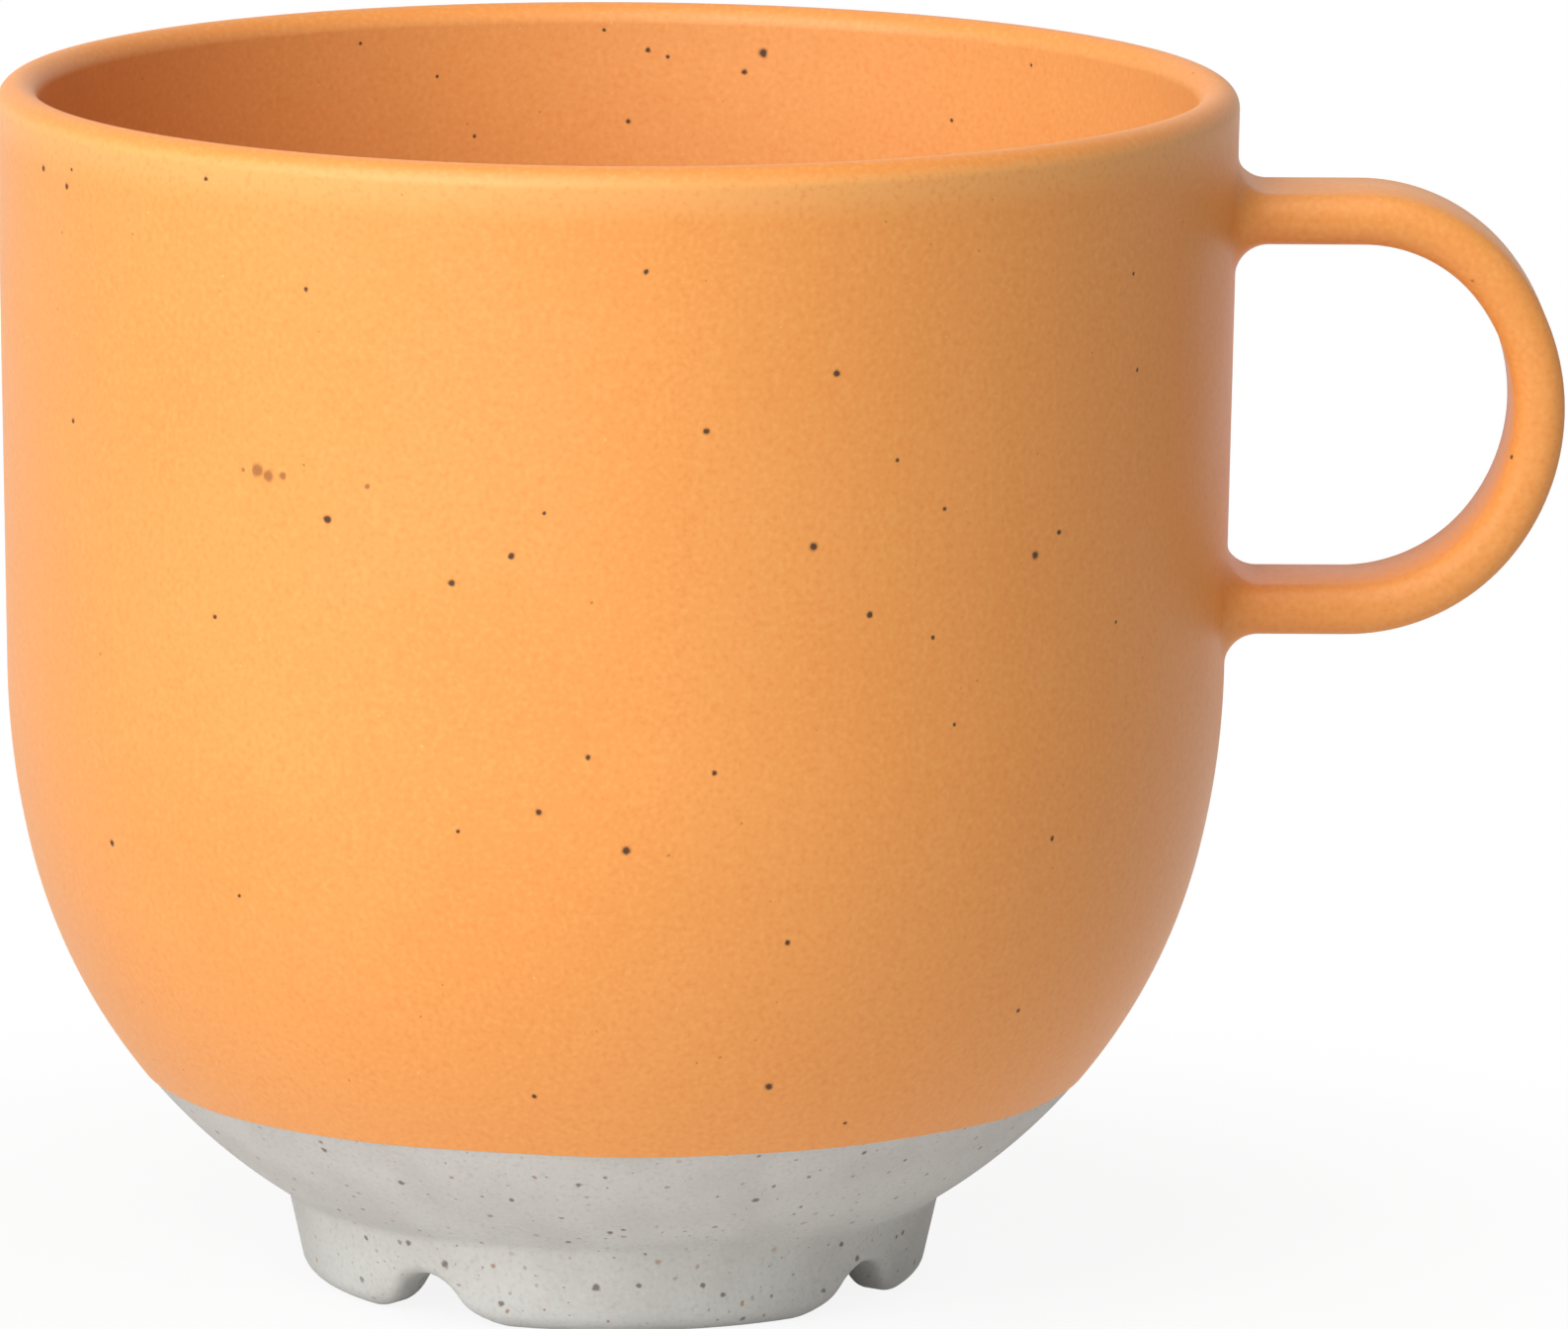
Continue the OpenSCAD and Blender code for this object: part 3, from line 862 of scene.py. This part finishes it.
def glaze_colour(m, cloud):
    """Apricot, with a painted highlight just under the lip, deeper on top of it (partly the glaze's own
    colour, partly painted shade), and paler on the inside (painted light that lifts the inside), with a fine
    grain.
    """
    col = m.mix(m.ramp(cloud, 0.3, 0.7), GLAZE, GLAZE_CLOUD)
    z = m.split(m.obj)[2]
    inner = m.attribute("inner", "Fac")
    highlight = m.math("MULTIPLY", m.ramp(z, HIGHLIGHT_FROM, HIGHLIGHT_FULL), m.ramp(z, LIP_TOP_FULL, LIP_TOP_FROM))
    # painted highlight just under the lip, on the outside only
    col = m.mix(m.math("MULTIPLY", highlight, m.ramp(inner, 0.3, 0.0, end=0.6)), col, PAINTED_HIGHLIGHT_UNDER_LIP)
    # painted light: the inside painted paler than the outside
    col = m.mix(inner, col, GLAZE_INSIDE_PAINTED_LIGHT)
    # the lip's top painted deeper: partly the glaze's own colour, partly painted shade
    col = m.mix(m.ramp(z, LIP_TOP_FROM, LIP_TOP_FULL, end=0.6), col, GLAZE_ON_LIP_AND_SHADE)
    grain = m.noise(0.42, 1)
    col = m.mix(m.ramp(grain, 0.5, 0.8, end=0.5), col, GLAZE_DEEP_GRAIN)
    return m.mix(m.ramp(grain, 0.5, 0.25, end=0.35), col, GLAZE_PALE_GRAIN)


def glaze_material():
    """Satin glaze. Iron specks have a brown halo and a near black middle; pinholes show pale clay."""
    m = Nodes("satin_apricot_glaze")
    cloud = m.noise(16.0, 1)
    col = glaze_colour(m, cloud)
    d, tone, strength = m.speck(m.ragged(0.5, 0.22))
    iron = m.math("GREATER_THAN", tone, 0.2)
    halo = m.math("MULTIPLY", m.ramp(d, 1.7, 0.7), m.math("MULTIPLY", strength, iron))
    core = m.math("MULTIPLY", m.ramp(d, 1.15, 0.6), m.math("MULTIPLY", strength, tone))
    pit = m.math("MULTIPLY", m.ramp(d, 1.2, 0.6, end=0.6), m.math("SUBTRACT", 1.0, iron))
    col = m.mix(m.math("MULTIPLY", halo, 0.6), col, IRON_HALO)
    col = m.mix(m.math("MULTIPLY", core, iron), col, IRON_CORE)
    col = m.mix(pit, col, PINHOLE)
    rough = m.ramp(cloud, 0.3, 0.7, start=0.42, end=0.48)
    rough = m.math("ADD", rough, m.math("MULTIPLY", halo, 0.2))
    m.put(m.bsdf.inputs["Base Color"], col)
    m.put(m.bsdf.inputs["Roughness"], rough)
    m.bsdf.inputs["IOR"].default_value = 1.4
    m.put(m.bsdf.inputs["Normal"], m.bump(m.noise(0.9, 1.5, 0.6), distance=0.03, strength=0.5))
    return m.mat


def clay_material():
    """Bare grey clay with a fine grain and specks from rust over brown to grey."""
    m = Nodes("bare_grey_clay")
    col = m.mix(m.ramp(m.noise(6.0, 1), 0.3, 0.7), CLAY, CLAY_CLOUD)
    grain = m.noise(0.4, 2, 0.65)
    col = m.mix(m.ramp(grain, 0.5, 0.8, end=0.45), col, CLAY_PALE_GRAIN)
    col = m.mix(m.ramp(grain, 0.5, 0.2, end=0.6), col, CLAY_DARK_GRAIN)
    d, tone, strength = m.speck(m.ragged(0.4, 0.35))
    dark = m.mix(m.ramp(tone, 0.6, 0.8), CLAY_BROWN, CLAY_GREY)
    spot = m.mix(m.ramp(tone, 0.3, 0.5), CLAY_RUST, dark)
    col = m.mix(m.math("MULTIPLY", m.ramp(d, 1.25, 0.5), strength), col, spot)
    m.put(m.bsdf.inputs["Base Color"], col)
    m.put(m.bsdf.inputs["Roughness"], m.ramp(grain, 0.3, 0.7, start=0.74, end=0.88))
    m.bsdf.inputs["Specular IOR Level"].default_value = 0.35
    m.put(m.bsdf.inputs["Normal"], m.bump(m.noise(0.55, 2, 0.6), distance=0.05, strength=0.7))
    return m.mat


# Camera, fitted to the photograph: places in mm, and the aim in its pixels
W_PX, H_PX = 1586, 1344
CAMERA_AT = Vector((0, -1036.0, 230.5))
AIM_AT = Vector((0, 0, 44.0))
AIM_PX = (623.1, 685.2)  # where the photograph shows the aim
PX_PER_MM = 13.859  # at the aim's distance
ROLL = math.radians(0.257)
SENSOR = 36  # mm across


def add_camera():
    """Camera turned so that the aim falls on its pixel, with no shift."""
    forward = AIM_AT - CAMERA_AT
    focal = PX_PER_MM * forward.length
    forward.normalize()
    right = Vector((1, 0, 0))
    up = right.cross(forward)
    c, s = cos(ROLL), sin(ROLL)
    dx, dy = W_PX / 2 - AIM_PX[0], H_PX / 2 - AIM_PX[1]
    u, v = c * dx + s * dy, -s * dx + c * dy
    aim = (forward * focal + right * u - up * v).normalized()
    across = right * c + up * s
    x = (across - aim * across.dot(aim)).normalized()
    z = -aim
    y = z.cross(x)
    data = bpy.data.cameras.new("camera")
    data.sensor_width = SENSOR
    data.lens = SENSOR * math.hypot(focal, math.hypot(u, v)) / W_PX
    data.clip_start, data.clip_end = 0.01, 20
    cam = bpy.data.objects.new("camera", data)
    scene.collection.objects.link(cam)
    scene.camera = cam
    cam.matrix_world = Matrix.Translation(CAMERA_AT * MM) @ Matrix((x, y, z)).transposed().to_4x4()


# Light and stage, in metres
LAMP_AIM = Vector((0, 0, 0.045))
WORLD_LEVEL = 0.11
FLOOR_SIDES = 48
FLOOR_R_M = 4.0
FLOOR_GREY = 0.65
GLOW = 0.21  # light off the floor near the mug, for the under sides
GLOW_AT = (0.03, -0.02, 0.0)
GLOW_NEAR, GLOW_FAR = 0.03, 0.15
RING_DARK, RING_CLEAR = 0.018, 0.028  # the floor under the foot ring gives no light
VEIL = 0.89  # share of plain white beside the foot, where the shadow shows
VEIL_NEAR, VEIL_FAR = 0.03, 0.11


def softbox(name, azimuth, elevation, distance, width, height, power):
    """Soft lamp aimed at the mug; azimuth 0 is at the camera's side, +90 at the handle's."""
    a, e = math.radians(azimuth), math.radians(elevation)
    at = Vector((sin(a) * cos(e), -cos(a) * cos(e), sin(e))) * distance + LAMP_AIM
    lamp = bpy.data.lights.new(name, "AREA")
    lamp.shape = "RECTANGLE"
    lamp.size, lamp.size_y, lamp.energy = width, height, power
    o = bpy.data.objects.new(name, lamp)
    scene.collection.objects.link(o)
    o.location = at
    o.rotation_mode = "QUATERNION"
    o.rotation_quaternion = (LAMP_AIM - at).to_track_quat("-Z", "Y")


def node(tree, kind, **values):
    """Adds a node; a value goes to its property of that name, or else to its input."""
    n = tree.nodes.new("ShaderNode" + kind)
    for k, v in values.items():
        if hasattr(n, k):
            setattr(n, k, v)
        else:
            n.inputs[k.replace("_", " ")].default_value = v
    return n


def ease(tree, value, near, far, start, end):
    """Output that goes smoothly from start to end while a distance goes from near to far."""
    n = node(tree, "MapRange", interpolation_type="SMOOTHSTEP", From_Min=near, From_Max=far)
    n.inputs["To Min"].default_value = start
    n.inputs["To Max"].default_value = end
    tree.links.new(value, n.inputs["Value"])
    return n.outputs["Result"]


def times(tree, a, b):
    """Product of two outputs."""
    n = node(tree, "Math", operation="MULTIPLY")
    tree.links.new(a, n.inputs[0])
    tree.links.new(b, n.inputs[1])
    return n.outputs[0]


def seen_directly(tree):
    """1 for rays of the camera, of mirrors and of glass: these see the white background."""
    path = node(tree, "LightPath")
    total = node(tree, "Math", operation="ADD")
    both = node(tree, "Math", operation="ADD", use_clamp=True)
    tree.links.new(path.outputs["Is Camera Ray"], total.inputs[0])
    tree.links.new(path.outputs["Is Glossy Ray"], total.inputs[1])
    tree.links.new(total.outputs[0], both.inputs[0])
    tree.links.new(path.outputs["Is Transmission Ray"], both.inputs[1])
    return both.outputs[0]


def add_world():
    """White where it is seen, and a low even light on the mug."""
    world = bpy.data.worlds.new("studio")
    world.use_nodes = True
    tree = world.node_tree
    background = tree.nodes["Background"]
    background.inputs["Color"].default_value = (1, 1, 1, 1)
    level = node(tree, "MapRange", To_Min=WORLD_LEVEL, To_Max=1.0)
    tree.links.new(seen_directly(tree), level.inputs["Value"])
    tree.links.new(level.outputs["Result"], background.inputs["Strength"])
    scene.world = world


def floor_material():
    """Pale floor with a weak glow round the mug, white where it is seen but for the shadow at the foot."""
    mat = bpy.data.materials.new("pale_floor")
    mat.use_nodes = True
    tree = mat.node_tree
    bsdf = tree.nodes["Principled BSDF"]
    bsdf.inputs["Base Color"].default_value = (FLOOR_GREY, FLOOR_GREY, FLOOR_GREY, 1)
    bsdf.inputs["Emission Color"].default_value = (1, 1, 1, 1)
    bsdf.inputs["Roughness"].default_value = 0.9
    bsdf.inputs["Specular IOR Level"].default_value = 0.1
    where = node(tree, "TexCoord").outputs["Object"]
    away = node(tree, "VectorMath", operation="DISTANCE")
    away.inputs[1].default_value = GLOW_AT
    tree.links.new(where, away.inputs[0])
    middle = node(tree, "VectorMath", operation="LENGTH")
    tree.links.new(where, middle.inputs[0])
    glow = ease(tree, away.outputs["Value"], GLOW_NEAR, GLOW_FAR, GLOW, 0.0)
    clear = ease(tree, middle.outputs["Value"], RING_DARK, RING_CLEAR, 0.0, 1.0)
    tree.links.new(times(tree, glow, clear), bsdf.inputs["Emission Strength"])
    veil = ease(tree, middle.outputs["Value"], VEIL_NEAR, VEIL_FAR, VEIL, 1.0)
    white = node(tree, "Emission", Color=(1, 1, 1, 1), Strength=1.0)
    both = node(tree, "MixShader")
    tree.links.new(times(tree, veil, seen_directly(tree)), both.inputs[0])
    tree.links.new(bsdf.outputs[0], both.inputs[1])
    tree.links.new(white.outputs[0], both.inputs[2])
    tree.links.new(both.outputs[0], tree.nodes["Material Output"].inputs["Surface"])
    return mat


def add_floor():
    """Round floor, which runs well past what the photograph's camera sees."""
    mesh = bpy.data.meshes.new("floor")
    turns = [2 * pi * k / FLOOR_SIDES for k in range(FLOOR_SIDES)]
    rim = [(FLOOR_R_M * cos(t), FLOOR_R_M * sin(t), 0) for t in turns]
    mesh.from_pydata(rim, [], [list(range(FLOOR_SIDES))])
    mesh.materials.append(floor_material())
    floor = bpy.data.objects.new("floor", mesh)
    scene.collection.objects.link(floor)


# The mug, then the studio round it
mug = glazed_mug(glaze_material())
foot = bare_foot(clay_material())
rng = np.random.default_rng(SEED)
speck_glaze(mug, rng)
speck_clay(foot, rng)
for piece, slot in ((mug, "glaze"), (foot, "bare_clay")):
    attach(piece, "root")
    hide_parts("mug")

add_camera()
softbox("key", azimuth=-39, elevation=28, distance=1.1, width=1.1, height=0.9, power=11.0)
softbox("top", azimuth=-25, elevation=62, distance=1.1, width=0.9, height=0.9, power=6.2)
add_world()
add_floor()

scene.view_settings.view_transform = "Standard"
